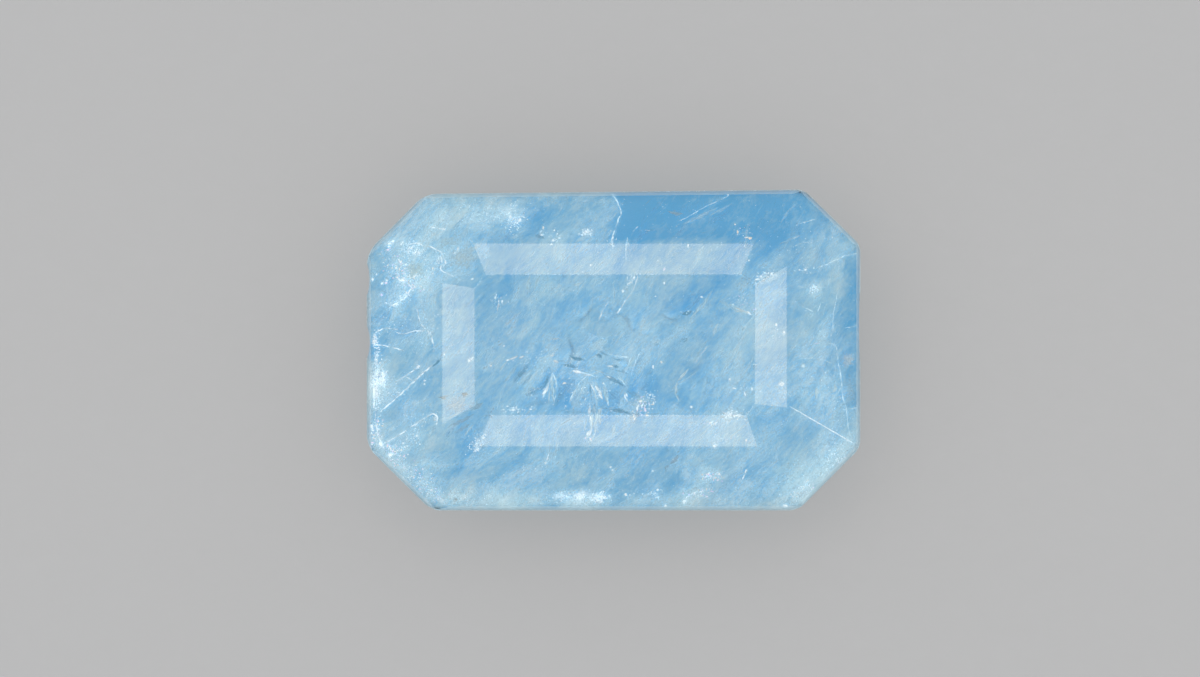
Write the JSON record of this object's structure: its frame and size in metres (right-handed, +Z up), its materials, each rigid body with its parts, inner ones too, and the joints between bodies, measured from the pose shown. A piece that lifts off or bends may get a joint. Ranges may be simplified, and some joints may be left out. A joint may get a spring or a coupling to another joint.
{
  "type": "cut sapphire gemstone",
  "caption": "Loose pale blue sapphire in an emerald cut: a long octagon with stepped flat facets, a large table, a wide culet and a chipped edge.",
  "frame": {"origin": "the middle of the bounding box's lower face, on the culet's plane", "axes": "+X along the stone's length, +Y across its width, +Z up through the table"},
  "size_m": [0.014, 0.0091, 0.0053],
  "materials": {
    "sapphire": "polished pale blue sapphire, see-through but clouded by white veils, feathers and fine silk"
  },
  "bodies": {
    "root": {"sapphire": "sapphire"}
  },
  "joints": []
}
